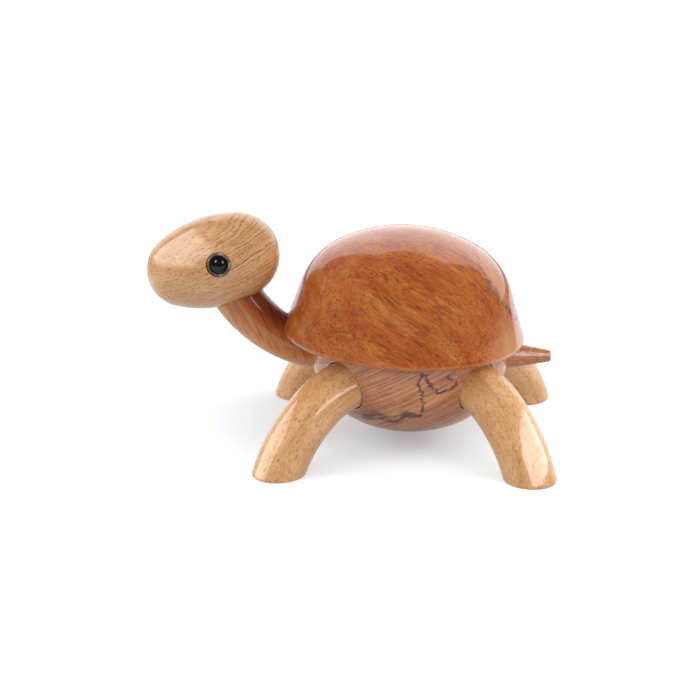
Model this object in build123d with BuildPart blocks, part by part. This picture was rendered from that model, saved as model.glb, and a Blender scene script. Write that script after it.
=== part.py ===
"""Wooden turtle figurine, built from its turned, bent and bored pieces.

Millimetres, +Z up. The turtle faces -X, so its left side is -Y. The origin is on the table,
under the middle of the overall length. Every piece is a solid of its own in parts/.
"""
from build123d import *
from math import acos, asin, cos, degrees, radians, sin, sqrt, tan
import os

# Fits that the pieces share
running_gap = 0.06        # pin that turns in its bore, on the radius
glue_gap = 0.03           # dowel or tenon glued in its bore, on the radius
seat_gap = 0.10           # flat face that slides round on a flat face
socket_gap = 0.35         # bent piece that turns in a round socket, on the radius
bore_relief = 1.0         # room for glue past a dowel's end
dowel_chamfer = 0.5       # broken edge at each end of a dowel

# Belly, a turned bowl with a gently rounded underside and full sides
belly_radius = 39.4
belly_under_radius = 53.0
belly_side_radius = 29.8
belly_rim_turn = 20.0     # degrees that the side turns in past upright, before the seat is planed
belly_clearance = 4.5     # under the belly's lowest point

# Seat, the flat that the belly's top and the shell's underside share, higher in front
seat_height = 42.2        # over the table, at the shell's axis
seat_pitch = 2.6          # degrees

# Shell, a turned dome: a ball-shaped crown on a straight, flared skirt
shell_setback = -2.6      # shell's axis from the belly's, along X
shell_rim_radius = 48.5   # at the seat, before the edge is rounded
shell_height = 43.7
shell_crown_radius = 60.0
shell_skirt_lean = 17.9   # degrees from upright
shell_shoulder_round = 27.9
shell_rim_round = 1.6
shell_dowel_radius = 3.0
shell_dowel_length = 24.0
shell_dowel_spacing = 30.0

# Legs, four alike, bent from round bar and trimmed at the table
leg_radius = 9.85
leg_axis_height = 30.4    # middle of the socket's floor
leg_droop = 9.5           # degrees below level, at the socket
leg_straight = 5.8
leg_knee_radius = 33.5
leg_knee_turn = 24.0      # degrees
leg_shin_radius = 56.0
foot_round = 0.9

# Leg sockets in the belly; angles are degrees from the turtle's length
socket_floor_radius = 29.7
socket_chamfer = 0.45
front_socket_angle = 49.0
rear_socket_angle = 41.0
front_leg_heading = 41.5
rear_leg_heading = 49.5
leg_pin_radius = 3.0
leg_pin_in_leg = 9.0
leg_pin_in_belly = 11.0

# Neck, a bent and tapering horn from the belly up to the head
neck_base_radius = 8.35
neck_top_radius = 9.8
neck_base_height = 36.1
neck_base_rise = 12.0     # degrees above level
neck_bend_radius = 49.5
neck_bend_turn = 45.9     # degrees from the base to the head
neck_seat_depth = 1.7     # spot-faced into the belly
neck_seat_gap = 0.15      # round the neck's foot in the spot-face
neck_notch_gap = 0.5      # between the neck and the notch in the shell
neck_dowel_radius = 3.0
neck_dowel_in_neck = 12.0
neck_dowel_in_belly = 12.0

# Head, a turned egg with its blunt end behind
head_half_length = 27.1
head_back_radius = 17.2
head_side_radius = 45.2
head_nose_radius = 14.8
head_pitch = 16.7         # degrees, nose down
head_seat_behind = 5.8    # neck's socket, behind the egg's middle
head_socket_depth = 3.3
head_pin_radius = 3.0
head_pin_in_head = 12.0
head_pin_in_neck = 9.0

# Eyes, black beads on shanks, each in a smoked ring that is let into the head
eye_behind = 5.1          # behind the egg's middle, along the egg
eye_above = 2.1           # over the egg's axis
eye_ring_radius = 4.85
eye_ring_thickness = 1.4
eye_ring_round = 0.4
eye_recess_depth = 2.1
eye_bead_radius = 3.55
eye_bead_bulge = 1.9      # over the ring's face
eye_shank_radius = 1.25
eye_shank_length = 7.0
eye_fit_gap = 0.05

# Tail, a turned cone with a tenon of its own
tail_base_radius = 5.4
tail_tip_radius = 2.35
tail_length = 17.5
tail_height = 34.5
tail_seat_depth = 0.9     # spot-faced into the belly
tail_tip_round = 0.6
tail_tenon_radius = 2.5
tail_tenon_length = 11.0

os.makedirs("parts", exist_ok=True)


def save(piece, name):
    """Label a finished piece and write its STEP file."""
    piece.label = name
    export_step(piece, f"parts/{name}.step")


# Legs: one bent bar, made at the origin with its end face square to Z
droop = radians(leg_droop)
with BuildPart() as leg:
    with BuildLine(Plane.XZ) as bend:
        stub = Line((0, seat_gap), (0, leg_straight))
        knee = JernArc(stub @ 1, stub % 1, leg_knee_radius, leg_knee_turn)
        JernArc(knee @ 1, knee % 1, leg_shin_radius, 90 - leg_droop - leg_knee_turn)
    with BuildSketch(Plane.XY.offset(seat_gap)):
        Circle(leg_radius)
    sweep(path=bend.line)
    table = Plane(
        origin=(-leg_axis_height * cos(droop), 0, leg_axis_height * sin(droop)),
        z_dir=(cos(droop), 0, -sin(droop)),
    )
    split(bisect_by=table, keep=Keep.TOP)
    fillet(leg.faces().sort_by(Axis(table.origin, table.z_dir))[0].edges(), foot_round)
    with Locations(Plane(origin=(0, 0, 0), z_dir=(0, 0, -1))):
        Hole(leg_pin_radius + glue_gap, leg_pin_in_leg + bore_relief)


# The neck's middle line is one arc in the turtle's middle plane, ahead of the belly's axis
def neck_point(rise):
    """Distance ahead and height where the neck's middle line has turned to this rise, in degrees."""
    start, end = radians(neck_base_rise), radians(rise)
    ahead = belly_radius - neck_seat_depth + neck_bend_radius * (sin(end) - sin(start))
    height = neck_base_height + neck_bend_radius * (cos(start) - cos(end))
    return ahead, height


# The egg's outline is three arcs, back, side and nose; the first and the last have their centres on its axis
end_span = 2 * head_half_length - head_back_radius - head_nose_radius
back_drop, nose_drop = head_side_radius - head_back_radius, head_side_radius - head_nose_radius
side_ahead = (end_span**2 + back_drop**2 - nose_drop**2) / (2 * end_span)
back_turn = degrees(acos(side_ahead / back_drop))
nose_turn = degrees(acos((end_span - side_ahead) / nose_drop))


def egg_radius(behind):
    """Radius of the egg where its side arc reigns, at a distance behind its middle."""
    from_arc = behind - (head_half_length - head_back_radius - side_ahead)
    return sqrt(head_side_radius**2 - from_arc**2) - sqrt(back_drop**2 - side_ahead**2)


# The head stands where the neck's end reaches the floor of its socket
neck_top_rise = neck_base_rise + neck_bend_turn
rise, pitch = radians(neck_top_rise), radians(head_pitch)
neck_end_ahead, neck_end_height = neck_point(neck_top_rise)
socket_side_radius = egg_radius(head_seat_behind)
head_ahead = (
    neck_end_ahead - head_socket_depth * cos(rise)
    + head_seat_behind * cos(pitch) + socket_side_radius * sin(pitch)
)
head_height = (
    neck_end_height - head_socket_depth * sin(rise)
    - head_seat_behind * sin(pitch) + socket_side_radius * cos(pitch)
)


def socket_plane(end, side, middle):
    """Floor of a leg's socket round a belly that stands at this middle, X up and Z out along the leg.

    End is -1 in front and 1 behind; side is -1 on the left and 1 on the right.
    """
    place = radians(front_socket_angle if end < 0 else rear_socket_angle)
    heading = radians(front_leg_heading if end < 0 else rear_leg_heading)
    out_x, out_y = end * cos(heading), side * sin(heading)
    return Plane(
        origin=(
            middle + end * socket_floor_radius * cos(place),
            side * socket_floor_radius * sin(place),
            leg_axis_height,
        ),
        x_dir=(out_x * sin(droop), out_y * sin(droop), cos(droop)),
        z_dir=(out_x * cos(droop), out_y * cos(droop), -sin(droop)),
    )


# The belly's axis stands so that the origin is under the middle of the length, nose to rear feet
nose_reach = head_ahead + (head_half_length - head_nose_radius) * cos(pitch) + head_nose_radius
foot_reach = leg.part.moved(socket_plane(1, 1, 0).location).bounding_box().max.X
body_x = (nose_reach - foot_reach) / 2

# Planes that the pieces share
lean = radians(seat_pitch)
seat = Plane(
    origin=(body_x + shell_setback, 0, seat_height),
    x_dir=(cos(lean), 0, -sin(lean)),
    z_dir=(sin(lean), 0, cos(lean)),
)
tail_seat = Plane(
    origin=(body_x + belly_radius - tail_seat_depth, 0, tail_height), x_dir=(0, 1, 0), z_dir=(1, 0, 0)
)
head_middle = Plane(
    origin=(body_x - head_ahead, 0, head_height), x_dir=(cos(pitch), 0, sin(pitch)), z_dir=(0, -1, 0)
)


def neck_plane(rise):
    """Plane square to the neck where it has turned to this rise in degrees, facing the head."""
    ahead, height = neck_point(rise)
    tilt = radians(rise)
    return Plane(
        origin=(body_x - ahead, 0, height), x_dir=(sin(tilt), 0, cos(tilt)), z_dir=(-cos(tilt), 0, sin(tilt))
    )


def eye_plane(side):
    """Plane that touches the head at one eye, facing out; side is -1 on the left."""
    aside = sqrt(egg_radius(eye_behind) ** 2 - eye_above**2)
    outward = head_middle.y_dir * eye_above + Vector(0, side * aside, 0)
    origin = head_middle.origin + head_middle.x_dir * eye_behind + outward
    return Plane(origin=origin, x_dir=head_middle.x_dir, z_dir=outward)


sockets = {
    "front_left": socket_plane(-1, -1, body_x),
    "front_right": socket_plane(-1, 1, body_x),
    "rear_left": socket_plane(1, -1, body_x),
    "rear_right": socket_plane(1, 1, body_x),
}
eyes = {"left": eye_plane(-1), "right": eye_plane(1)}
neck_seat = neck_plane(neck_base_rise)
neck_end = neck_plane(neck_top_rise)
head_socket = -neck_end.offset(seat_gap)
shell_dowel_seats = {
    name: Plane(origin=seat.from_local_coords((place, 0, 0)), x_dir=seat.x_dir, z_dir=seat.z_dir)
    for name, place in (("front", -shell_dowel_spacing / 2), ("rear", shell_dowel_spacing / 2))
}
on_base = (Align.CENTER, Align.CENTER, Align.MIN)


def dowel(name, plane, radius, before, beyond):
    """Save a round dowel with broken ends that crosses a plane."""
    with BuildPart() as stick:
        with BuildSketch(plane.offset(-before)):
            Circle(radius)
        extrude(amount=before + beyond)
        chamfer(stick.edges().filter_by(GeomType.CIRCLE), dowel_chamfer)
    save(stick.part, name)


# Neck: bent and tapered bar. The notch for it in the shell has the same shape, a gap wider.
neck_sections = 5


def neck_horn(gap):
    """The neck's solid, wider all round by the gap."""
    with BuildPart() as horn:
        for section in range(neck_sections):
            share = section / (neck_sections - 1)
            with BuildSketch(neck_plane(neck_base_rise + neck_bend_turn * share)):
                Circle(neck_base_radius + (neck_top_radius - neck_base_radius) * share + gap)
        loft()
    return horn.part


with BuildPart() as neck:
    add(neck_horn(0))
    with Locations(-neck_seat):
        Hole(neck_dowel_radius + glue_gap, neck_dowel_in_neck + bore_relief)
    with Locations(neck_end):
        Hole(head_pin_radius + glue_gap, head_pin_in_neck + bore_relief)
save(neck.part, "neck")
dowel("neck_dowel", neck_seat, neck_dowel_radius, neck_dowel_in_belly, neck_dowel_in_neck)
dowel("head_pin", neck_end, head_pin_radius, head_pin_in_neck, head_pin_in_head)

# Belly: turned bowl, planed off along the seat, then bored for all that it carries
under_turn = degrees(asin((belly_radius - belly_side_radius) / (belly_under_radius - belly_side_radius)))
with BuildPart() as belly:
    with BuildSketch(Plane(origin=(body_x, 0, 0), x_dir=(1, 0, 0), z_dir=(0, -1, 0))):
        with BuildLine():
            under = JernArc((0, belly_clearance), (1, 0), belly_under_radius, under_turn)
            flank = JernArc(under @ 1, under % 1, belly_side_radius, 90 + belly_rim_turn - under_turn)
            Polyline(flank @ 1, (0, (flank @ 1).Y), under @ 0)
        make_face()
    revolve(axis=Axis((body_x, 0, 0), (0, 0, 1)))
    split(bisect_by=seat, keep=Keep.BOTTOM)
    with Locations(*sockets.values()):
        Cylinder(leg_radius + socket_gap, belly_radius, align=on_base, mode=Mode.SUBTRACT)
    chamfer(belly.edges(Select.LAST).filter_by(GeomType.CIRCLE, reverse=True), socket_chamfer)
    with Locations(*sockets.values()):
        Hole(leg_pin_radius + running_gap, leg_pin_in_belly + bore_relief)
    with Locations(neck_seat):
        Cylinder(neck_base_radius + neck_seat_gap, neck_base_radius, align=on_base, mode=Mode.SUBTRACT)
        Hole(neck_dowel_radius + glue_gap, neck_dowel_in_belly + bore_relief)
    with Locations(tail_seat):
        Cylinder(tail_base_radius + glue_gap, tail_base_radius, align=on_base, mode=Mode.SUBTRACT)
        Hole(tail_tenon_radius + glue_gap, tail_tenon_length + bore_relief)
    with Locations(*shell_dowel_seats.values()):
        Hole(shell_dowel_radius + glue_gap, shell_dowel_length / 2 + bore_relief)
save(belly.part, "belly")

# Shell: turned dome on the seat, notched in front over the neck
with BuildPart() as shell:
    section = Plane(origin=seat.origin, x_dir=seat.x_dir, z_dir=(0, -1, 0))
    with BuildSketch(section) as dome:
        skirt_top = shell_rim_radius - shell_height * tan(radians(shell_skirt_lean))
        with BuildLine():
            Polyline(
                (0, 0), (shell_rim_radius, 0), (skirt_top, shell_height), (0, shell_height), close=True
            )
        make_face()
        with Locations((0, shell_height - shell_crown_radius)):
            Circle(shell_crown_radius, mode=Mode.INTERSECT)
        outer = dome.vertices().sort_by(Axis.X)
        fillet(outer[-2], shell_shoulder_round)
        fillet(dome.vertices().sort_by(Axis.X)[-1], shell_rim_round)
    revolve(axis=Axis(seat.origin, seat.z_dir))
    add(neck_horn(neck_notch_gap), mode=Mode.SUBTRACT)
    with Locations(*[-plane for plane in shell_dowel_seats.values()]):
        Hole(shell_dowel_radius + glue_gap, shell_dowel_length / 2 + bore_relief)
save(shell.part, "shell")
for name, plane in shell_dowel_seats.items():
    dowel(f"shell_dowel_{name}", plane, shell_dowel_radius, shell_dowel_length / 2, shell_dowel_length / 2)

# Each leg stands in its socket on a pin
for name, plane in sockets.items():
    save(leg.part.moved(plane.location), f"leg_{name}")
    dowel(f"leg_pin_{name}", plane, leg_pin_radius, leg_pin_in_belly, leg_pin_in_leg)

# Head: turned egg, bored below for the neck and at each side for an eye
with BuildPart() as head:
    with BuildSketch(head_middle):
        with BuildLine():
            back = JernArc((head_half_length, 0), (0, 1), head_back_radius, back_turn)
            flank = JernArc(back @ 1, back % 1, head_side_radius, 180 - back_turn - nose_turn)
            TangentArc(flank @ 1, (-head_half_length, 0), tangent=flank % 1)
            Line((-head_half_length, 0), (head_half_length, 0))
        make_face()
    revolve(axis=Axis(head_middle.origin, head_middle.x_dir))
    with Locations(head_socket):
        Cylinder(neck_top_radius + socket_gap, head_side_radius, align=on_base, mode=Mode.SUBTRACT)
        Hole(head_pin_radius + running_gap, head_pin_in_head + bore_relief)
    for plane in eyes.values():
        with Locations(plane.offset(-eye_recess_depth)):
            Cylinder(eye_ring_radius + eye_fit_gap, head_nose_radius, align=on_base, mode=Mode.SUBTRACT)
            Hole(eye_shank_radius + eye_fit_gap, eye_shank_length + bore_relief)
save(head.part, "head")

# Eyes: the ring lies on the recess's floor, and the bead stands in the ring
for name, plane in eyes.items():
    floor = plane.offset(-eye_recess_depth)
    with BuildPart() as ring:
        with Locations(floor):
            Cylinder(eye_ring_radius, eye_ring_thickness, align=on_base)
            Cylinder(eye_bead_radius + eye_fit_gap, eye_ring_thickness, align=on_base, mode=Mode.SUBTRACT)
        face = ring.faces().sort_by(Axis(floor.origin, floor.z_dir))[-1]
        fillet(face.edges().sort_by(SortBy.LENGTH)[-1], eye_ring_round)
    save(ring.part, f"eye_ring_{name}")
    with BuildPart() as bead:
        section = Plane(origin=floor.origin, x_dir=floor.x_dir, z_dir=floor.y_dir * -1)
        with BuildSketch(section):
            with BuildLine():
                edge = (eye_bead_radius, eye_ring_thickness)
                top = (0, eye_ring_thickness + eye_bead_bulge)
                dome_radius = (eye_bead_radius**2 + eye_bead_bulge**2) / (2 * eye_bead_bulge)
                RadiusArc(edge, top, -dome_radius)
                Polyline(
                    top, (0, -eye_shank_length), (eye_shank_radius, -eye_shank_length),
                    (eye_shank_radius, 0), (eye_bead_radius, 0), edge,
                )
            make_face()
        revolve(axis=Axis(floor.origin, floor.z_dir))
    save(bead.part, f"eye_bead_{name}")

# Tail: turned cone with a tenon, let a little into the belly
with BuildPart() as tail:
    with BuildSketch(Plane(origin=tail_seat.origin, x_dir=tail_seat.z_dir, z_dir=(0, -1, 0))) as taper:
        with BuildLine():
            Polyline(
                (-tail_tenon_length, 0), (-tail_tenon_length, tail_tenon_radius), (0, tail_tenon_radius),
                (0, tail_base_radius), (tail_length, tail_tip_radius), (tail_length, 0), close=True,
            )
        make_face()
        fillet(taper.vertices().sort_by(Axis.X)[-2:].sort_by(Axis.Y)[-1], tail_tip_round)
    revolve(axis=Axis(tail_seat.origin, tail_seat.z_dir))
save(tail.part, "tail")
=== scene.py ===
"""Looks of the wooden turtle figurine: turned, bent and bored pieces of several woods under clear lacquer."""
from math import acos, asin, atan2, cos, degrees, pi, radians, sin, sqrt, tan

import bpy
import numpy as np
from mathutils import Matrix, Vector


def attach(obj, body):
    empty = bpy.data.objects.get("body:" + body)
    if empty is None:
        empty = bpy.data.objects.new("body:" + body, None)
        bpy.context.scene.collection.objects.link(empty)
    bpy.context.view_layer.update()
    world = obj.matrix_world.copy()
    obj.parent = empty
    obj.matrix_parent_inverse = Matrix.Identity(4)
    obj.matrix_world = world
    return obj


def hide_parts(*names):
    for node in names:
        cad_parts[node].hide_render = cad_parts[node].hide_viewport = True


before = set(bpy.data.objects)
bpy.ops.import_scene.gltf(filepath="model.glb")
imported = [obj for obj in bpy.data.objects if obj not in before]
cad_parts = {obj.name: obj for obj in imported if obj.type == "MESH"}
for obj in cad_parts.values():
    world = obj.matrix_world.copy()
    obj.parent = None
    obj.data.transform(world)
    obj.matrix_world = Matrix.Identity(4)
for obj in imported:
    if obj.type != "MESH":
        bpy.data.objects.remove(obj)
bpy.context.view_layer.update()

# Belly
# A bowl turned from spalted pinkish hardwood, planed off on top where the shell is glued on.
# Four round sockets for the legs, a spot-face for the neck and one for the tail are bored into its side.
# Each mouth's edge is rounded, and painted pale along it as a highlight line.
belly_x = 0.0236006
belly_clearance, belly_radius, under_radius, side_radius = 0.0045, 0.0394, 0.053, 0.0298
seat_height, seat_pitch, shell_x = 0.0422, radians(2.6), belly_x - 0.0026
socket_radius, socket_floor, leg_height, leg_droop = 0.0102, 0.0297, 0.0304, radians(9.5)
neck_spot_radius, tail_spot_radius, mouth_round = 0.0085, 0.00545, 0.0006


def unit(v):
    """v / |v| along the last axis."""
    v = np.asarray(v, float)
    return v / np.linalg.norm(v, axis=-1, keepdims=True)


def arc(centre, radius, start, end, steps):
    """Points centre + radius (cos t, sin t), t in degrees from start to end."""
    t = np.radians(np.linspace(start, end, steps))
    return np.stack([centre[0] + radius * np.cos(t), centre[1] + radius * np.sin(t)], 1)


def rings(centres, tangents, side, radii, sides):
    """Rings round a path: point = centre + radius (cos a side + sin a (tangent x side)), a all round."""
    a = np.linspace(0, 2 * pi, sides, endpoint=False)[:, None]
    up = np.cross(tangents, side)
    spoke = np.cos(a) * np.asarray(side) + np.sin(a) * up[:, None]
    return centres[:, None] + np.broadcast_to(radii, (sides, len(centres))).T[..., None] * spoke


def turned(origin, axis, side, profile, sides=160):
    """A turned piece: profile points (radius, along) carried round the axis through the origin."""
    axis = unit(axis)
    centres = np.asarray(origin) + profile[:, 1:] * axis
    return rings(centres, np.broadcast_to(axis, centres.shape), unit(side), profile[:, 0], sides)


def skin(name, grid, grain=None, sharp=40):
    """A closed mesh of rings joined by quads, with a fan on the mean point of the first and last ring."""
    rows, sides = grid.shape[:2]
    points = np.concatenate([grid.reshape(-1, 3), [grid[0].mean(0), grid[-1].mean(0)]])
    i, j = np.meshgrid(np.arange(rows - 1) * sides, np.arange(sides), indexing="ij")
    k = (j + 1) % sides
    quads = np.stack([i + j, i + k, i + k + sides, i + j + sides], -1).reshape(-1, 4)
    a, b = np.arange(sides), np.roll(np.arange(sides), -1)
    first, last, top = 0 * a + rows * sides, 0 * a + rows * sides + 1, (rows - 1) * sides
    fans = np.concatenate([np.stack([first, b, a], 1), np.stack([last, top + a, top + b], 1)])
    mesh = bpy.data.meshes.new(name)
    mesh.from_pydata(points.tolist(), [], quads.tolist() + fans.tolist())
    if grain is not None:
        values = np.concatenate([grain.reshape(-1, 3), [grain[0].mean(0), grain[-1].mean(0)]])
        mesh.attributes.new("grain", "FLOAT_VECTOR", "POINT").data.foreach_set("vector", values.ravel())
    mesh.shade_smooth()
    mesh.set_sharp_from_angle(angle=radians(sharp))
    piece = bpy.data.objects.new(name, mesh)
    bpy.context.collection.objects.link(piece)
    return piece


def bore(piece, grid, edge=0, sharp=40):
    """Cuts the closed skin of a grid out of a piece.

    With an edge, the cut's strips from the second one on take the piece's second material.
    """
    cutter = skin("cutter", grid)
    if edge:
        index = np.zeros(len(cutter.data.polygons), np.int32)
        index[grid.shape[1] : grid[:-1].size // 3] = 1
        for finish in piece.data.materials:
            cutter.data.materials.append(finish)
        cutter.data.polygons.foreach_set("material_index", index)
    cut = piece.modifiers.new("bore", "BOOLEAN")
    cut.operation, cut.solver, cut.object = "DIFFERENCE", "EXACT", cutter
    view = bpy.context.evaluated_depsgraph_get()
    mesh = bpy.data.meshes.new_from_object(piece.evaluated_get(view))
    piece.modifiers.clear()
    old, piece.data = piece.data, mesh
    bpy.data.meshes.remove(old)
    bpy.data.objects.remove(cutter)
    mesh.shade_smooth()
    mesh.set_sharp_from_angle(angle=radians(sharp))


def paint(code):
    """An sRGB hex colour as linear red, green, blue and alpha."""
    part = [int(code[i : i + 2], 16) / 255 for i in (0, 2, 4)]
    return [c / 12.92 if c <= 0.04045 else ((c + 0.055) / 1.055) ** 2.4 for c in part] + [1]


def add(tree, kind, links={}, out=0, ramp=None, **settings):
    """One node with its settings; links hold a plain value or another node's output for each input."""
    made = tree.nodes.new("ShaderNode" + kind)
    for name, value in settings.items():
        setattr(made, name, value)
    for place, value in links.items():
        if isinstance(value, bpy.types.NodeSocket):
            tree.links.new(value, made.inputs[place])
        else:
            made.inputs[place].default_value = value
    for step, (place, value) in enumerate(ramp or []):
        stops = made.color_ramp.elements
        stop = stops[step] if step < 2 else stops.new(place)
        stop.position = place
        stop.color = paint(value) if isinstance(value, str) else (value, value, value, 1)
    return made.outputs[out] if len(made.outputs) else made


def new_material(name):
    """An empty node material and its node tree."""
    made = bpy.data.materials.new(name)
    made.use_nodes = True
    made.node_tree.nodes.clear()
    return made, made.node_tree


def millimetres(tree, turn=(0, 0, 0), centre=(0, 0, 0)):
    """Object coordinates in mm from a centre, turned so that Z runs along the grain."""
    place = add(tree, "VectorMath", {0: add(tree, "TexCoord", out=3), "Scale": 1000}, operation="SCALE")
    return add(tree, "Mapping", {0: place, 1: centre, 2: [radians(t) for t in turn]}, vector_type="TEXTURE")


def stretched(tree, place, size, shift=0.0):
    """Coordinates divided by a mark's size in mm, three numbers with the grain's length last."""
    scaled = add(tree, "VectorMath", {0: place, 1: [1 / s for s in size]}, operation="MULTIPLY")
    return add(tree, "VectorMath", {0: scaled, 1: (shift, 0.7 * shift, 0.3 * shift)}, operation="ADD")


def cloud(tree, place, size, shift, low, high, detail=3.0):
    """Noise with marks of a size in mm, from 0 at the low value to 1 at the high one."""
    noise = add(tree, "TexNoise", {0: stretched(tree, place, size, shift), 2: 1.0, 3: detail, 4: 0.6})
    return add(tree, "MapRange", {0: noise, 1: low, 2: high})


def dashes(tree, place, size, shift, reach, share):
    """Single strokes, one in each cell of a size in mm; reach is their half width and share how many show."""
    where = stretched(tree, place, size, shift)
    far = add(tree, "TexVoronoi", {"Vector": where, "Scale": 1.0})
    chance = add(tree, "SeparateColor", {0: add(tree, "TexVoronoi", {"Vector": where, "Scale": 1.0}, 1)})
    shown = add(tree, "Math", {0: chance, 1: share}, operation="LESS_THAN")
    stroke = add(tree, "MapRange", {0: far, 1: reach, 2: 0.55 * reach})
    return add(tree, "Math", {0: stroke, 1: shown}, operation="MULTIPLY")


def stained(tree, colour, marks, share, stain, way="MULTIPLY"):
    """The colour, stained where the marks are 1 by the share of the stain's colour."""
    amount = add(tree, "Math", {0: marks, 1: share}, operation="MULTIPLY")
    return add(tree, "Mix", {0: amount, 6: colour, 7: paint(stain)}, 2, data_type="RGBA", blend_type=way)


def lacquered(tree, colour, relief, depth, gloss=0.06, body=0.5):
    """Wood under clear lacquer: a rough body with faint relief, and a smooth coat of IOR 1.46 over it."""
    bumped = add(tree, "Bump", {"Strength": 1.0, "Distance": depth, "Height": relief})
    uneven = add(tree, "MapRange", {0: relief, 3: gloss, 4: 1.6 * gloss})
    shader = add(tree, "BsdfPrincipled", {
        "Base Color": colour, "Roughness": body, "Specular IOR Level": 0.2, "Normal": bumped,
        "Coat Weight": 1.0, "Coat Roughness": uneven, "Coat IOR": 1.46, "Coat Normal": bumped,
    })
    add(tree, "OutputMaterial", {0: shader})


# The belly's wood is spalted: straight growth layers rise to the rear by 28 degrees with fine dark fibres
# between them, and one purple-brown zone line, a thin sheet through the wood, zigzags across them in steps
# along the grain.
def sheet_distance(tree, place, path):
    """Distance in mm to a sheet that stands across the piece on a path of (x, z) points.

    For each stretch from a to b: |p - a - (b - a) clamp((p - a).(b - a) / |b - a|^2)|, and the least of all.
    """
    flat, least = add(tree, "VectorMath", {0: place, 1: (1, 0, 1)}, operation="MULTIPLY"), 1000.0
    for a, b in zip(path, path[1:]):
        go = np.array([b[0] - a[0], 0, b[1] - a[1]])
        start = add(tree, "VectorMath", {0: flat, 1: (a[0], 0, a[1])}, operation="SUBTRACT")
        along = add(tree, "VectorMath", {0: start, 1: go / (go @ go)}, out=1, operation="DOT_PRODUCT")
        along = add(tree, "Math", {0: along, 1: 1.0}, operation="MULTIPLY", use_clamp=True)
        foot = add(tree, "VectorMath", {0: go, "Scale": along}, operation="SCALE")
        apart = add(tree, "VectorMath", {0: start, 1: foot}, out=1, operation="DISTANCE")
        least = add(tree, "Math", {0: apart, 1: least}, operation="MINIMUM")
    return least


spalted, tree = new_material("spalted_hardwood")
flat = millimetres(tree)
mm = millimetres(tree, (0, 62, 0))
tone = cloud(tree, mm, (11, 14, 40), 5.0, 0.35, 0.68)
colour = add(tree, "ValToRGB", {0: tone}, ramp=[(0, "B67046"), (1, "CC8654"), (0.5, "C27A4C")])
colour = stained(tree, colour, cloud(tree, mm, (1.3, 50, 150), 1.1, 0.52, 0.62, 1), 0.35, "9A6240")
colour = stained(tree, colour, cloud(tree, mm, (0.5, 14, 70), 2.1, 0.53, 0.63, 1), 0.65, "84503A")
colour = stained(tree, colour, cloud(tree, mm, (0.4, 0.5, 7), 6.2, 0.5, 0.72, 2), 0.3, "F2C9A4", "SCREEN")
jag = add(tree, "TexNoise", {0: stretched(tree, mm, (1.1, 3, 6), 3.3), 2: 1.0, 3: 2.0}, 1)
jag = add(tree, "VectorMath", {0: jag, 1: (0.5, 0.5, 0.5)}, operation="SUBTRACT")
jag = add(tree, "VectorMath", {0: jag, 1: (5.5, 0, 2.9)}, operation="MULTIPLY")
zone_path = [(7.5, 16.9), (12.2, 19.2), (19.3, 16.9), (22.9, 21), (29.1, 19.8), (29.8, 24.2), (29.8, 28.8),
             (28.7, 34), (29, 38), (31.3, 37.3), (34, 32.2), (35.4, 30), (40.1, 31.6), (42.9, 32.8), (39, 37)]
near = sheet_distance(tree, add(tree, "VectorMath", {0: flat, 1: jag}), zone_path)
broad = add(tree, "MapRange", {0: add(tree, "SeparateXYZ", {0: flat}), 1: 22.0, 2: 28.5, 3: 2.4, 4: 0.8})
near = add(tree, "Math", {0: near, 1: broad}, operation="DIVIDE")
faint = cloud(tree, mm, (2, 5, 6), 8.8, 0.3, 0.5, 2)
zones = add(tree, "MapRange", {0: near, 1: 1.0, 2: 0.5})
zones = add(tree, "Math", {0: zones, 1: faint}, operation="MULTIPLY")
colour = stained(tree, colour, zones, 0.92, "4E1E1A", "MIX")
lacquered(tree, colour, zones, 0.00001)

# The mouths' edges: a pale colour painted on as a highlight, a light line round each mouth.
painted_edge_highlight, tree = new_material("painted_highlight_edge")
colour = add(tree, "ValToRGB", {0: cloud(tree, millimetres(tree), (1.2, 1.2, 1.2), 0.0, 0.3, 0.7)}, ramp=[
    (0, "C4B4A0"), (1, "F2EADC"),
])
lacquered(tree, colour, colour, 0.00001)

under_turn = asin((belly_radius - side_radius) / (under_radius - side_radius))
waist_height = belly_clearance + under_radius - (under_radius - side_radius) * cos(under_turn)
waist_ring = belly_radius - side_radius
under = arc((0, belly_clearance + under_radius), under_radius, -90, degrees(under_turn) - 90, 40)
flank = arc((waist_ring, waist_height), side_radius, degrees(under_turn) - 90, 14, 90)
under[0, 0] = 0.0002
bowl = turned((belly_x, 0, 0), (0, 0, 1), (1, 0, 0), np.concatenate([under, flank[1:]]), 200)
seat_normal = np.array([sin(seat_pitch), 0, cos(seat_pitch)])
seat_middle = np.array([shell_x, 0, seat_height])
bowl[..., 2] -= np.maximum((bowl - seat_middle) @ seat_normal, 0) / seat_normal[2]
lid = bowl[-1] + np.linspace(0, 0.98, 14)[1:, None, None] * (bowl[-1].mean(0) - bowl[-1])
belly = skin("turned_belly", np.concatenate([bowl, lid]))
belly.data.materials.append(spalted)
# The second material, for the cut's strips at each mouth, is the painted highlight.
belly.data.materials.append(painted_edge_highlight)


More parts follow.
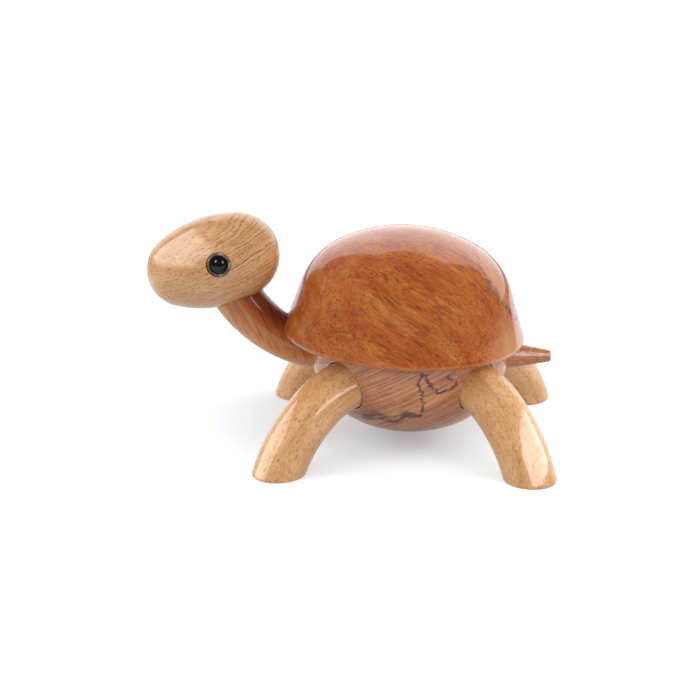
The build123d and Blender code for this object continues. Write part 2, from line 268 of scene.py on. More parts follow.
def mouthed(origin, axis, radius, sides=120):
    """Cutter for a bore with a rounded mouth: rings at the floor, up the quarter circle and outside.

    At turn t of that circle, the ring is mouth_round (1 - cos t) wider and lies mouth_round (1 - sin t)
    under the wall. The wall's height along each line is found by stepping by the distance
    |(rho - ring, z - waist)| - side radius, with rho counted from the belly's axis.
    """
    origin, axis = np.asarray(origin, float), unit(axis)
    side = unit(np.cross(axis, (0, 0, 1)))
    a = np.linspace(0, 2 * pi, sides, endpoint=False)[:, None]
    spoke = np.cos(a) * side + np.sin(a) * np.cross(axis, side)
    heights, widths = [np.zeros(sides)], [radius]
    for turn in np.linspace(0, 1.35, 5):
        wide, along = radius + mouth_round * (1 - cos(turn)), np.zeros(sides)
        for _ in range(30):
            p = origin + wide * spoke + along[:, None] * axis
            rho = np.hypot(p[:, 0] - belly_x, p[:, 1])
            along -= np.hypot(rho - waist_ring, p[:, 2] - waist_height) - side_radius
        heights.append(along - mouth_round * (1 - sin(turn)))
        widths.append(wide)
    heights = np.array(heights + [heights[-1] + mouth_round, heights[0] + 0.03])
    widths = np.array(widths + [widths[-1] + 0.4 * mouth_round] * 2)
    return origin + heights[..., None] * axis + widths[:, None, None] * spoke


sockets = {}
for end, place, heading, x in (("front", 49, 41.5, -1), ("rear", 41, 49.5, 1)):
    for hand, y in (("left", -1), ("right", 1)):
        at, aim = radians(place), radians(heading)
        origin = np.array([belly_x + x * socket_floor * cos(at), y * socket_floor * sin(at), leg_height])
        axis = np.array([x * cos(aim) * cos(leg_droop), y * sin(aim) * cos(leg_droop), -sin(leg_droop)])
        sockets[f"{end}_{hand}"] = (origin, axis)
neck_rise = radians(12)
neck_foot = np.array([belly_x - belly_radius + 0.0017, 0, 0.0361])
neck_axis = np.array([-cos(neck_rise), 0, sin(neck_rise)])
tail_foot = np.array([belly_x + belly_radius - 0.0009, 0, 0.0345])
for origin, axis in sockets.values():
    bore(belly, mouthed(origin, axis, socket_radius), 1)
bore(belly, mouthed(neck_foot, neck_axis, neck_spot_radius), 1)
bore(belly, mouthed(tail_foot, (1, 0, 0), tail_spot_radius), 1)
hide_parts("belly")
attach(belly, "body")

# Shell
# A dome turned from reddish mahogany: a ball-shaped crown that rounds over into a straight, flared skirt.
# It is glued on the belly's seat over two dowels, and notched in front, half a millimetre clear of the neck.
rim_radius, dome_height, crown_radius = 0.0485, 0.0437, 0.060
skirt_lean, shoulder_round, rim_round = radians(17.9), 0.0279, 0.0016
neck_bend_radius, neck_turn = 0.0495, radians(45.9)
neck_foot_radius, neck_top_radius, notch_gap = 0.00835, 0.0098, 0.0005


def neck_path(steps):
    """The neck's middle line: one arc in the middle plane, from a rise of 12 to one of 57.9 degrees."""
    rise = np.linspace(neck_rise, neck_rise + neck_turn, steps)
    x = neck_foot[0] - neck_bend_radius * (np.sin(rise) - sin(neck_rise))
    z = neck_foot[2] + neck_bend_radius * (cos(neck_rise) - np.cos(rise))
    return np.stack([x, 0 * x, z], 1), np.stack([-np.cos(rise), 0 * x, np.sin(rise)], 1)


slope, crown_drop, reach = tan(skirt_lean), crown_radius - dome_height, crown_radius - shoulder_round
foot_x = rim_radius - shoulder_round / cos(skirt_lean)
b, c = (crown_drop - foot_x * slope) / (1 + slope**2), (foot_x**2 + crown_drop**2 - reach**2) / (1 + slope**2)
shoulder_z = sqrt(b**2 - c) - b
shoulder = (foot_x - slope * shoulder_z, shoulder_z)
meet, lean = degrees(atan2(shoulder_z + crown_drop, shoulder[0])), degrees(skirt_lean)
rim_middle = (rim_radius - rim_round * (slope + 1 / cos(skirt_lean)), rim_round)
base = np.stack([np.linspace(0.0002, rim_middle[0], 30), np.zeros(30)], 1)
edge = arc(rim_middle, rim_round, -90, lean, 12)
over = arc(shoulder, shoulder_round, lean, meet, 40)
skirt = edge[-1] + np.linspace(0, 1, 26)[1:-1, None] * (over[0] - edge[-1])
crown = arc((0, -crown_drop), crown_radius, meet, 89.8, 50)
outline = np.concatenate([base, edge[1:], skirt, over, crown[1:]])
rearward = (cos(seat_pitch), 0, -sin(seat_pitch))
shell = skin("turned_shell", turned(seat_middle, seat_normal, rearward, outline, 240))
centres, tangents = neck_path(40)
notch = np.linspace(neck_foot_radius, neck_top_radius, 40) + notch_gap
bore(shell, rings(centres, tangents, (0, 1, 0), notch, 120))

# Reddish mahogany. Grain falls to the rear by 32 degrees and curls a little, with fine dark and light fibres
# and short dark pores that crowd in patches. Growth layers close over the rear, each pale behind a dark line,
# the first the darkest. The wood is paler by the near rim; a small knot with a pale heart sits near the top.
mahogany, tree = new_material("red_mahogany")
flat = millimetres(tree)
curl = add(tree, "TexNoise", {0: stretched(tree, flat, (22, 22, 22), 0.4), 2: 1.0, 3: 1.0}, 1)
curl = add(tree, "VectorMath", {0: curl, 1: (7, 7, 7)}, operation="MULTIPLY")
mm = add(tree, "VectorMath", {0: millimetres(tree, (10, 122, 0)), 1: curl})
tone = cloud(tree, mm, (5, 5, 26), 3.1, 0.3, 0.7, 3)
colour = add(tree, "ValToRGB", {0: tone}, ramp=[
    (0.0, "A2490F"), (1.0, "C27434"), (0.4, "B1591A"), (0.75, "B96728"),
])
colour = stained(tree, colour, cloud(tree, mm, (1.7, 1.7, 14), 7.7, 0.55, 0.72, 2), 0.45, "94522C")
colour = stained(tree, colour, cloud(tree, mm, (0.5, 0.5, 5), 1.3, 0.53, 0.66, 1), 0.16, "D88E46", "SCREEN")
colour = stained(tree, colour, cloud(tree, mm, (0.45, 0.45, 4), 4.9, 0.54, 0.64, 1), 0.4, "94501F")
crowd = cloud(tree, mm, (7, 7, 14), 6.6, 0.42, 0.6)
pores = dashes(tree, mm, (1.0, 1.0, 4.6), 2.2, 0.32, 0.55)
pores = add(tree, "Math", {0: pores, 1: crowd}, operation="MULTIPLY")
colour = stained(tree, colour, pores, 0.7, "682A0A", "MIX")
fibres = cloud(tree, mm, (0.7, 0.7, 9), 5.4, 0.52, 0.64, 2)
colour = stained(tree, colour, fibres, 0.42, "9C5222")
colour = stained(tree, colour, dashes(tree, mm, (2.4, 2.4, 9), 8.1, 0.19, 0.3), 0.7, "622608", "MIX")
# The paler wood by the near rim: a patch round one point, its edge wandering by some millimetres.
wander = add(tree, "TexNoise", {0: stretched(tree, flat, (5, 5, 5), 1.0), 2: 1.0, 3: 3.0})
pale = add(tree, "VectorMath", {0: flat, 1: (62, -18, 34)}, out=1, operation="DISTANCE")
pale = add(tree, "Math", {0: wander, 1: 8.0, 2: pale}, operation="MULTIPLY_ADD")
colour = stained(tree, colour, add(tree, "MapRange", {0: pale, 1: 28.0, 2: 16.0}), 0.55, "DCA070", "MIX")
# Growth layers: sheets that lean forward by 32 degrees from upright, counted in mm past the first one.
layer_step = 4.6
ringed = add(tree, "VectorMath", {0: flat, 1: (0.85, 0.0, 0.527)}, out=1, operation="DOT_PRODUCT")
ringed = add(tree, "Math", {0: wander, 1: 2.4, 2: ringed}, operation="MULTIPLY_ADD")
past = add(tree, "Math", {0: ringed, 1: 84.3}, operation="SUBTRACT")
behind = add(tree, "MapRange", {0: past, 1: -0.3, 2: 0.9})
layer = add(tree, "Math", {0: past, 1: layer_step}, operation="DIVIDE")
layer = add(tree, "MapRange", {0: add(tree, "Math", {0: layer}, operation="FRACT"), 3: 1.0, 4: 0.0})
layer = add(tree, "Math", {0: behind, 1: layer}, operation="MULTIPLY")
colour = stained(tree, colour, layer, 0.45, "CE8E54", "MIX")
line = add(tree, "Math", {0: past, 1: layer_step / 2}, operation="PINGPONG")
line = add(tree, "MapRange", {0: line, 1: 0.5, 2: 0.1})
begun = add(tree, "Math", {0: past, 1: -0.6}, operation="GREATER_THAN")
fading = add(tree, "MapRange", {0: past, 1: 0.6, 2: 4.0, 3: 1.0, 4: 0.3})
for share in (cloud(tree, flat, (3, 3, 3), 3.0, 0.42, 0.55, 1), fading, begun):
    line = add(tree, "Math", {0: line, 1: share}, operation="MULTIPLY")
colour = stained(tree, colour, line, 0.8, "4E2206", "MIX")
knot = add(tree, "VectorMath", {0: flat, 1: (40.2, 1.3, 82.5)}, out=1, operation="DISTANCE")
colour = stained(tree, colour, add(tree, "MapRange", {0: knot, 1: 1.9, 2: 1.2}), 0.9, "3A1E10", "MIX")
colour = stained(tree, colour, add(tree, "MapRange", {0: knot, 1: 0.8, 2: 0.5}), 0.9, "E8DCCB", "MIX")
lacquered(tree, colour, pores, 0.00001, 0.05)
shell.data.materials.append(mahogany)
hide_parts("shell")
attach(shell, "body")

# Neck
# A horn sawn and turned from straight-grained hardwood, thin at the belly and thicker at the head.
# Its foot stands in the belly's spot-face on a dowel, and the head turns on a pin in its top.
centres, tangents = neck_path(90)
radii = np.linspace(neck_foot_radius, neck_top_radius, 90)
neck = skin("curved_neck", rings(centres, tangents, (0, 1, 0), radii, 128))

# Hardwood with a boundary of sapwood and heartwood: pale tan along the throat, then brown, and dark red brown
# along the nape, darker there still as painted shade under the shell and head. Fibres with dark streaks cross
# it steeply, falling to the rear.
heartwood_and_nape_shade, tree = new_material("streaked_heartwood_painted_shade")
flat = millimetres(tree)
mm = millimetres(tree, (0, 153, 0))
bent = add(tree, "TexNoise", {0: stretched(tree, mm, (2.2, 4, 20), 2.7), 2: 1.0, 3: 3.0})
level = add(tree, "VectorMath", {0: add(tree, "VectorMath", {0: flat, 1: (1, 0, 1)}, operation="MULTIPLY"),
                                1: (-3.8, 0, 84.5)}, out=1, operation="DISTANCE")
level = add(tree, "Math", {0: bent, 1: 7.0, 2: level}, operation="MULTIPLY_ADD")
# The ramp's dark end along the nape is partly painted shade from the shell and head above it.
tone = add(tree, "MapRange", {0: level, 1: 46.0, 2: 59.5})
colour = add(tree, "ValToRGB", {0: tone}, ramp=[
    (0.0, "7A3208"), (1.0, "CE8C4A"), (0.2, "96440E"), (0.42, "B06020"), (0.62, "BE7434"), (0.82, "CA8442"),
])
colour = stained(tree, colour, cloud(tree, mm, (0.6, 4, 22), 8.2, 0.54, 0.66, 2), 0.6, "8A4A2A")
colour = stained(tree, colour, cloud(tree, mm, (0.4, 0.8, 7), 1.9, 0.5, 0.68, 2), 0.4, "A06A48")
lacquered(tree, colour, bent, 0.00001, 0.07)
neck.data.materials.append(heartwood_and_nape_shade)
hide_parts("neck")
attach(neck, "body")

# Head
# An egg turned from steamed beech, blunt end behind, bored below for the neck and at each side for an eye.
# It turns on the pin in the neck's top.
half_length, back_radius, flank_radius, nose_radius = 0.0271, 0.0172, 0.0452, 0.0148
head_pitch = radians(16.7)
head_middle = np.array([-0.0547682, 0, 0.0711715])
head_axis = np.array([cos(head_pitch), 0, sin(head_pitch)])
span = 2 * half_length - back_radius - nose_radius
back_drop, nose_drop = flank_radius - back_radius, flank_radius - nose_radius
flank_ahead = (span**2 + back_drop**2 - nose_drop**2) / (2 * span)
back_turn, nose_turn = degrees(acos(flank_ahead / back_drop)), degrees(acos((span - flank_ahead) / nose_drop))
flank_middle = (half_length - back_radius - flank_ahead, -sqrt(back_drop**2 - flank_ahead**2))
egg = np.concatenate([
    arc((half_length - back_radius, 0), back_radius, 0.6, back_turn, 40),
    arc(flank_middle, flank_radius, back_turn, 180 - nose_turn, 46)[1:],
    arc((nose_radius - half_length, 0), nose_radius, 180 - nose_turn, 179.4, 34)[1:],
])
head = skin("turned_head", turned(head_middle, head_axis, (0, 1, 0), egg[:, ::-1], 200))
top_rise = neck_rise + neck_turn
pin_axis = np.array([-cos(top_rise), 0, sin(top_rise)])
neck_top = neck_path(2)[0][1]
neck_bore_radius, neck_bore_gap = 0.01015, 0.0001
neck_bore = np.array([[neck_bore_radius, 0], [neck_bore_radius, 0.03]])
bore(head, turned(neck_top + neck_bore_gap * pin_axis, -pin_axis, (0, 1, 0), neck_bore, 120))
eye_behind, eye_above, recess_depth, recess_radius = 0.0051, 0.0021, 0.0021, 0.0049
egg_there = sqrt(flank_radius**2 - (eye_behind - flank_middle[0]) ** 2) + flank_middle[1]
eyes = {}
for hand, y in (("left", -1), ("right", 1)):
    aside = y * sqrt(egg_there**2 - eye_above**2)
    outward = np.array([-sin(head_pitch) * eye_above, aside, cos(head_pitch) * eye_above])
    floor_middle = head_middle + eye_behind * head_axis + outward - recess_depth * unit(outward)
    eyes[hand] = (floor_middle, unit(outward))
    bore(head, turned(*eyes[hand], head_axis, np.array([[recess_radius, 0], [recess_radius, 0.01]]), 96))

# Steamed beech. Fine growth layers, nested like the skins of a long onion, rise to the rear by 21 degrees and
# close over the blunt end, where they are plainest; short brown ray flecks follow them.
beech, tree = new_material("steamed_beech_head")
flat = millimetres(tree)
mm = millimetres(tree, (0, 69, 0), (-62, 0, 80))
bent = add(tree, "TexNoise", {0: stretched(tree, mm, (9, 9, 16), 0.8), 2: 1.0, 3: 1.0})
ring = add(tree, "VectorMath", {0: mm, 1: (1.0, 0.6, 0.45)}, operation="MULTIPLY")
ring = add(tree, "VectorMath", {0: ring}, out=1, operation="LENGTH")
ring = add(tree, "Math", {0: bent, 1: 2.2, 2: ring}, operation="MULTIPLY_ADD")
ring = add(tree, "Math", {0: ring, 1: 2.3}, operation="MULTIPLY")
layers = add(tree, "TexNoise", {"W": ring, 2: 1.0, 3: 2.0}, noise_dimensions="1D")
plain = add(tree, "MapRange", {0: add(tree, "SeparateXYZ", {0: flat}), 1: -62.0, 2: -38.0, 3: 0.4, 4: 1.0})
dark = add(tree, "MapRange", {0: layers, 1: 0.52, 2: 0.64})
dark = add(tree, "Math", {0: dark, 1: plain}, operation="MULTIPLY")
light = add(tree, "MapRange", {0: layers, 1: 0.47, 2: 0.36})
light = add(tree, "Math", {0: light, 1: plain}, operation="MULTIPLY")
tone = cloud(tree, mm, (7, 7, 16), 6.2, 0.3, 0.7)
colour = add(tree, "ValToRGB", {0: tone}, ramp=[(0, "C08A55"), (1, "D6A574"), (0.5, "CC9864")])
broken = cloud(tree, mm, (1.2, 1.2, 5), 4.7, 0.3, 0.55, 2)
colour = stained(tree, colour, add(tree, "Math", {0: dark, 1: broken}, operation="MULTIPLY"), 0.62, "A2602F")
colour = stained(tree, colour, light, 0.24, "D8A878", "SCREEN")
colour = stained(tree, colour, cloud(tree, mm, (0.42, 0.42, 2.6), 1.3, 0.53, 0.64, 2), 0.5, "A46C38")
flecks = dashes(tree, mm, (0.9, 0.9, 4.2), 3.7, 0.3, 0.5)
colour = stained(tree, colour, flecks, 0.65, "84481E", "MIX")
lacquered(tree, colour, flecks, 0.00003, 0.16)
head.data.materials.append(beech)
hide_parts("head")
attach(head, "head")

# Eyes
# A black moulded bead on a shank, pressed into a smoked ring that is let into the head and glued.
# The moulded bead is glassy and all but black; the ring is cloudy brown, with painted shade darkening both
# edges, where it meets the bead and the head.
black, tree = new_material("black_moulded_bead")
murk = cloud(tree, millimetres(tree), (2, 2, 2), 0.0, 0.3, 0.7)
colour = add(tree, "ValToRGB", {0: murk}, ramp=[(0, "050505"), (1, "15130F")])
rough = add(tree, "MapRange", {0: murk, 3: 0.03, 4: 0.08})
shader = add(tree, "BsdfPrincipled", {"Base Color": colour, "Roughness": rough, "IOR": 1.38})
add(tree, "OutputMaterial", {0: shader})
smoke_and_gap_shade, tree = new_material("smoked_ring_gap_shade")
flat_band = add(tree, "Attribute", attribute_name="grain", out=1)
flat_band = add(tree, "VectorMath", {0: flat_band, "Scale": 1000}, operation="SCALE")
murk = cloud(tree, flat_band, (1.6, 1.6, 1.6), 2.0, 0.32, 0.66, 4)
colour = add(tree, "ValToRGB", {0: murk}, ramp=[(0, "3E2E28"), (1, "AA9A88"), (0.5, "74645A")])
radius = add(tree, "VectorMath", {0: flat_band, 1: (1, 1, 0)}, operation="MULTIPLY")
radius = add(tree, "VectorMath", {0: radius}, 1, operation="LENGTH")
# Painted shade: the ring is darkened at its inner and outer edges, in the gaps to the bead and the head's
# recess.
edge_gap_shade = add(tree, "ValToRGB", {0: add(tree, "MapRange", {0: radius, 1: 3.5, 2: 4.9})}, ramp=[
    (0, 1.0), (1, 0.9), (0.16, 1.0), (0.34, 0.1), (0.7, 0.0),
])
colour = stained(tree, colour, edge_gap_shade, 0.9, "1C1210", "MIX")
rough = add(tree, "MapRange", {0: murk, 3: 0.15, 4: 0.4})
relief = add(tree, "Bump", {"Distance": 0.0001, "Height": murk})
shader = add(tree, "BsdfPrincipled", {"Base Color": colour, "Roughness": rough, "IOR": 1.5, "Normal": relief})
add(tree, "OutputMaterial", {0: shader})
ring_radius, ring_thick, ring_round = 0.00485, 0.0014, 0.0004
bead_radius, bead_bulge, shank_radius, shank_length = 0.00355, 0.0019, 0.00125, 0.007
inside = bead_radius + 0.00005
band = np.concatenate([
    [[inside, 0], [ring_radius, 0]],
    arc((ring_radius - ring_round, ring_thick - ring_round), ring_round, 0, 90, 8),
    [[inside, ring_thick], [inside, 0]],
])
dome = (bead_radius**2 + bead_bulge**2) / (2 * bead_bulge)
cap = arc((0, ring_thick + bead_bulge - dome), dome, degrees(asin((dome - bead_bulge) / dome)), 89.5, 30)
bead_line = np.concatenate([[[shank_radius, -shank_length], [shank_radius, 0], [bead_radius, 0]], cap])
plain_band = turned((0, 0, 0), (0, 0, 1), (1, 0, 0), band, 96)
beads = []
for hand, (floor_middle, outward) in eyes.items():
    ring = skin(f"eye_surround_{hand}", turned(floor_middle, outward, head_axis, band, 96), plain_band, 50)
    bead = skin(f"eye_bead_black_{hand}", turned(floor_middle, outward, head_axis, bead_line, 96))
    beads.append(bead)
    eye_pieces = ((ring, "eye_ring", "eye_ring", smoke_and_gap_shade), (bead, "eye_bead", "eye_black", black))
    for piece, node, finish, look in eye_pieces:
        piece.data.materials.append(look)
        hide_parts(f"{node}_{hand}")
        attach(piece, "head")

# Legs
# Four alike, bent from 20 mm round beech bar and sawn off flat at the table with a softly rounded edge.
# Each turns in its socket on a glued-in pin.
leg_radius, stub, foot_round = 0.00985, 0.0058, 0.0009
knee_radius, knee_turn, shin_radius = 0.0335, radians(24), 0.056
knee_end = np.array([knee_radius * (cos(knee_turn) - 1), stub + knee_radius * sin(knee_turn)])
shin_middle = knee_end - shin_radius * np.array([cos(knee_turn), sin(knee_turn)])


def bent_leg(origin, axis, sides=112):
    """Rings of a bent bar and each point's place in the straight bar (deep, off, along).

    With u upward and w along the socket's axis, a point at tube angle a and turn t on an arc about
    (cx, cz) of radius R is (cx + (R + r cos a) cos t) u + (cz + (R + r cos a) sin t) w + r sin a (w x u).
    The foot's edge is a ball of the foot's radius rolled along: it leaves the skin at the height
    radius (1 + n), n the height of the skin's normal N, and turns from N to straight down.
    """
    up = np.array([axis[0] * tan(leg_droop), axis[1] * tan(leg_droop), cos(leg_droop)])
    across = np.cross(axis, up)
    a = np.linspace(0, 2 * pi, sides, endpoint=False)
    deep, off = leg_radius * np.cos(a), leg_radius * np.sin(a)

    def place(u, w):
        """Points from their heights along u and w, with the tube's own side offset."""
        along_bore = np.multiply.outer(u + 0 * a, up) + np.multiply.outer(w + 0 * a, axis)
        return origin + along_bore + np.multiply.outer(off, across)

    def on_arc(u, w, radius, t):
        """Points of the skin on an arc at turn t."""
        return place(u + (radius + deep) * np.cos(t), w + (radius + deep) * np.sin(t))

    rows = [place(deep, w) for w in np.linspace(0.0001, stub, 8)]
    along = [0 * a + w for w in np.linspace(0.0001, stub, 8)]
    for t in np.linspace(0, knee_turn, 22)[1:]:
        rows.append(on_arc(-knee_radius, stub, knee_radius, t))
        along.append(0 * a + stub + knee_radius * t)
    drop = leg_height + cos(leg_droop) * shin_middle[0] - sin(leg_droop) * shin_middle[1]
    end, normal = 0 * a + 1.0, None
    for _ in range(12):
        toward = np.multiply.outer(np.cos(end), up) + np.multiply.outer(np.sin(end), axis)
        normal = np.cos(a)[:, None] * toward + np.multiply.outer(np.sin(a), across)
        end = np.arccos((foot_round * (1 + normal[:, 2]) - drop) / (shin_radius + deep)) - leg_droop
    for t in np.linspace(0 * a + knee_turn, end, 70)[1:]:
        rows.append(on_arc(*shin_middle, shin_radius, t))
        along.append(stub + knee_radius * knee_turn + shin_radius * (t - knee_turn))
    middle = rows[-1] - foot_round * normal
    wide = np.arccos(-normal[:, 2:])
    for s in np.linspace(0, 1, 8)[1:]:
        lean = (np.sin((1 - s) * wide) * normal + np.sin(s * wide) * np.array([0, 0, -1])) / np.sin(wide)
        rows.append(middle + foot_round * lean)
        along.append(along[-1])
    along = np.array(along)
    bar = np.stack([np.broadcast_to(deep, along.shape), np.broadcast_to(off, along.shape), along], -1)
    return np.array(rows), bar


# Beech bar, its marks laid out along the bar: faint growth layers, fine fibres, and small brown ray flecks.
bar_beech, tree = new_material("steamed_beech_bar")
mm = add(tree, "Attribute", attribute_name="grain", out=1)
mm = add(tree, "VectorMath", {0: mm, "Scale": 1000}, operation="SCALE")
tone = cloud(tree, mm, (6, 6, 15), 2.2, 0.3, 0.7)
colour = add(tree, "ValToRGB", {0: tone}, ramp=[(0, "D19759"), (1, "E3B07B"), (0.5, "DAA36A")])
colour = stained(tree, colour, cloud(tree, mm, (1.2, 9, 40), 0.8, 0.52, 0.68, 2), 0.22, "AC7440")
colour = stained(tree, colour, cloud(tree, mm, (0.42, 0.42, 1.5), 1.1, 0.53, 0.63, 2), 0.5, "AC7338")
colour = stained(tree, colour, cloud(tree, mm, (0.5, 0.5, 1.8), 7.1, 0.54, 0.68, 2), 0.2, "F0C08A", "SCREEN")
flecks = dashes(tree, mm, (0.8, 0.8, 3.2), 5.5, 0.28, 0.5)
colour = stained(tree, colour, flecks, 0.7, "80491C", "MIX")
lacquered(tree, colour, flecks, 0.00003, 0.1)
legs = []
for step, (name, (origin, axis)) in enumerate(sockets.items()):
    grid, bar = bent_leg(origin, axis)
    leg = skin(f"bent_leg_{name}", grid, bar + np.array([0.013, 0.029, 0.11]) * step)
    leg.data.materials.append(bar_beech)
    legs.append(leg)
    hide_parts(f"leg_{name}")
    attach(leg, f"leg_{name}")

# Tail
# A small cone turned from open-pored hardwood, with a tenon of its own that is glued into the belly.
# The pores are dark dashes, up to 3 mm long, under a thin lacquer that has sunk into them.
tenon_radius, tenon_length = 0.0025, 0.011
taper = np.concatenate([
    [[tenon_radius, -tenon_length], [tenon_radius, 0]],
    np.stack([np.linspace(0.0054, 0.0023974, 24), np.linspace(0, 0.0168, 24)], 1),
    arc((0.00175, 0.0169), 0.0006, 12, 90, 8)[1:],
])
tail = skin("turned_tail", turned(tail_foot, (1, 0, 0), (0, 1, 0), taper, 96))
open_pored, tree = new_material("open_pored_hardwood")
mm = millimetres(tree, (0, 84, 0))
tone = cloud(tree, mm, (2.4, 2.4, 8), 6.1, 0.3, 0.7)
colour = add(tree, "ValToRGB", {0: tone}, ramp=[(0, "A05A2C"), (1, "C8864E")])
pores = cloud(tree, mm, (0.6, 0.6, 2.6), 2.9, 0.53, 0.62, 2)
colour = stained(tree, colour, pores, 0.7, "713A1E", "MIX")
lacquered(tree, colour, pores, 0.00004, 0.1)
tail.data.materials.append(open_pored)
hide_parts("tail")
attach(tail, "body")

# Dowels and pins
# Bare beech rod, 6 mm thick, that nobody sees: fine straight fibres and a dry, matt surface.
rod, tree = new_material("bare_beech_rod")
fibre = cloud(tree, millimetres(tree), (0.6, 0.6, 5), 0.0, 0.3, 0.7)
colour = add(tree, "ValToRGB", {0: fibre}, ramp=[(0, "C79A66"), (1, "DDB888")])
rough = add(tree, "MapRange", {0: fibre, 3: 0.65, 4: 0.8})
relief = add(tree, "Bump", {"Distance": 0.00003, "Height": fibre})
shader = add(tree, "BsdfPrincipled", {"Base Color": colour, "Roughness": rough, "Normal": relief})
add(tree, "OutputMaterial", {0: shader})
for name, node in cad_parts.items():
    if "dowel" in name or "pin" in name:
        node.data.materials.clear()
        node.data.materials.append(rod)

# Studio
# A white sheet, square to the camera and long behind the turtle, under an even white tent of light. What
# the lacquer mirrors is the sheet, a tall bright backdrop with sloping shoulders, a dim room, and soft boxes.
# The sheet's own grey keeps the shadows. What the camera sees of it is lifted to white, and what the
# lacquer mirrors of it by a third as much, which with the light that falls on the sheet is about white.
view_azimuth, view_height, view_distance = 3.4, 17.5, 0.83
sheet, tree = new_material("white_sheet")
rays = [add(tree, "LightPath", out=i) for i in (0, 3, 6)]
mirrored = add(tree, "Math", {0: rays[1], 1: 0.35}, operation="MULTIPLY")
looked = add(tree, "Math", {0: rays[0], 1: mirrored}, operation="MAXIMUM")
looked = add(tree, "Math", {0: looked, 1: rays[2]}, operation="MAXIMUM")
spot = add(tree, "TexCoord", out=3)
mottle = add(tree, "TexNoise", {0: spot, 2: 20.0})
colour = add(tree, "ValToRGB", {0: mottle}, ramp=[(0.3, "DFE7EE"), (0.7, "E1E9F0")])
rough = add(tree, "MapRange", {0: mottle, 3: 0.2, 4: 0.4})
matt = add(tree, "BsdfDiffuse", {"Color": colour, "Roughness": rough})
# Painted light: the sheet's glow is weakest by the turtle and grows outward, so its shadows fade to white
# away from the turtle.
away = add(tree, "VectorMath", {0: spot, 1: (0, 0.03, 0)}, out=1, operation="DISTANCE")
lift = add(tree, "MapRange", {0: away, 1: 0.03, 2: 0.26, 3: 0.2, 4: 1.05})
glow = add(tree, "Emission", {"Strength": add(tree, "Math", {0: looked, 1: lift}, operation="MULTIPLY")})
add(tree, "OutputMaterial", {0: add(tree, "AddShader", {0: matt, 1: glow})})
turn = radians(view_azimuth)
half_sheet, near_edge, far_edge = 0.38, -0.3, 3.0
corners = [(-half_sheet, near_edge), (half_sheet, near_edge), (half_sheet, far_edge), (-half_sheet, far_edge)]
corners = np.array(corners) @ [[cos(turn), sin(turn)], [-sin(turn), cos(turn)]]
floor_mesh = bpy.data.meshes.new("floor")
floor_mesh.from_pydata([(x, y, 0) for x, y in corners], [], [(0, 1, 2, 3)])
floor = bpy.data.objects.new("floor", floor_mesh)
bpy.context.collection.objects.link(floor)
floor_mesh.materials.append(sheet)


def heading(azimuth, elevation):
    """Unit vector; azimuth counts from the picture's near side (-Y) toward +X, elevation from the table."""
    at, high = radians(azimuth), radians(elevation)
    return Vector((sin(at) * cos(high), -cos(at) * cos(high), sin(high)))


# Surfaces are lit by an even 0.75, and the camera sees 1.0. Glossy rays see a room of 0.16 and the backdrop:
# with u the sideways and v the upward part of a direction, it is where |u| < 0.79, 0 < v < 0.82 and
# |u| + v < 1.1 hold behind the turtle.
world = bpy.data.worlds.new("studio")
bpy.context.scene.world = world
world.use_nodes = True
tree = world.node_tree
tree.nodes.clear()
aim = add(tree, "TexCoord", out=0)
sideways = add(tree, "VectorMath", {0: aim, 1: heading(85, 0)}, out=1, operation="DOT_PRODUCT")
sideways = add(tree, "Math", {0: sideways}, operation="ABSOLUTE")
upward = add(tree, "SeparateXYZ", {0: aim}, 2)
shoulder = add(tree, "Math", {0: add(tree, "Math", {0: sideways, 1: upward}), 1: 0.31}, operation="SUBTRACT")
top = add(tree, "Math", {0: upward, 1: 0.03}, operation="SUBTRACT")
outside = add(tree, "Math", {0: sideways, 1: shoulder}, operation="MAXIMUM")
outside = add(tree, "Math", {0: outside, 1: top}, operation="MAXIMUM")
under = add(tree, "Math", {0: upward, 1: -8.0, 2: 0.79}, operation="MULTIPLY_ADD")
outside = add(tree, "Math", {0: outside, 1: under}, operation="MAXIMUM")
behind = add(tree, "VectorMath", {0: aim, 1: heading(175, 0)}, out=1, operation="DOT_PRODUCT")
behind = add(tree, "Math", {0: behind, 1: 0.0}, operation="GREATER_THAN")
backdrop = add(tree, "MapRange", {0: sideways, 1: 0.3, 2: 0.8, 3: 1.55, 4: 0.95})
backdrop = add(tree, "MapRange", {0: outside, 1: 0.805, 2: 0.775, 3: 0.0, 4: backdrop},
               interpolation_type="SMOOTHSTEP")
mirrored = add(tree, "Math", {0: backdrop, 1: behind, 2: 0.16}, operation="MULTIPLY_ADD")
plain = add(tree, "MapRange", {0: add(tree, "LightPath"), 3: 0.75, 4: 1.0})
strength = add(tree, "Mix", {0: add(tree, "LightPath", out=3), 2: plain, 3: mirrored})
add(tree, "OutputWorld", {0: add(tree, "Background", {"Color": (1, 1, 1, 1), "Strength": strength})})
target = Vector((-0.0004, 0, 0.0354))


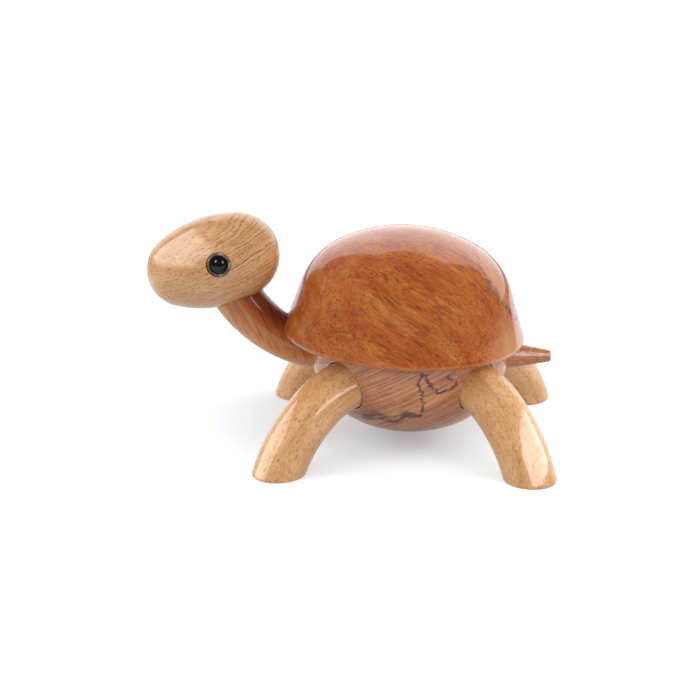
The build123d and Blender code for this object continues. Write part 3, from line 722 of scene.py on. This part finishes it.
def soft_box(name, toward, size, glow, seen_in=None, roll=0):
    """A rectangular soft box 1 m away, its size in degrees and its glow in W/m2/sr.

    Power = pi area glow. With a list of pieces it is only mirrored in them and lights nothing; without
    one it lights everything and is mirrored in nothing.
    """
    away = heading(*toward)
    data = bpy.data.lights.new(name, "AREA")
    data.shape, data.size, data.size_y = "RECTANGLE", *[2 * tan(radians(s / 2)) for s in size]
    data.energy = pi * data.size * data.size_y * glow
    lamp = bpy.data.objects.new(name, data)
    bpy.context.collection.objects.link(lamp)
    lamp.location = target + away
    turn = away.to_track_quat("Z", "Y").to_euler()
    turn.rotate_axis("Z", radians(roll))
    lamp.rotation_euler = turn
    lamp.visible_camera = False
    lamp.visible_glossy, lamp.visible_diffuse = bool(seen_in), not seen_in
    if seen_in:
        group = bpy.data.collections.new(name)
        for piece in seen_in:
            group.objects.link(piece)
        lamp.light_linking.receiver_collection = group


front_left, front_right, rear_left, rear_right = legs
soft_box("key_left", (-63, 30), (34, 34), 2.0)
soft_box("key_right", (60, 30), (34, 34), 2.0)
soft_box("back_left", (-112, 26), (22, 22), 5.0)
soft_box("back_right", (112, 26), (22, 22), 5.0)
soft_box("mirror_head", (-70, 34), (84, 46), 4.4, [head], -10)
soft_box("mirror_left", (-80, 21), (62, 54), 4.6, [front_left, front_right])
soft_box("mirror_right", (60, 33), (110, 38), 8.0, [rear_left, rear_right, tail])
soft_box("mirror_strip", (54, 19), (38, 9), 6.5, [front_left], -22)
soft_box("mirror_neck", (60, 24), (14, 9), 5.0, [neck])
soft_box("catch_left", (-43, 37), (13, 20), 16.0, beads)
soft_box("catch_right", (45, 31), (12, 20), 15.0, beads)

camera_data = bpy.data.cameras.new("camera")
camera_data.lens, camera_data.sensor_width = 106.7, 36
camera_data.clip_start, camera_data.clip_end = 0.05, 20
camera = bpy.data.objects.new("camera", camera_data)
bpy.context.collection.objects.link(camera)
bpy.context.scene.camera = camera
back = heading(view_azimuth, view_height)
camera.location = target + back * view_distance
camera.rotation_euler = back.to_track_quat("Z", "Y").to_euler()
bpy.context.scene.view_settings.view_transform = "Standard"
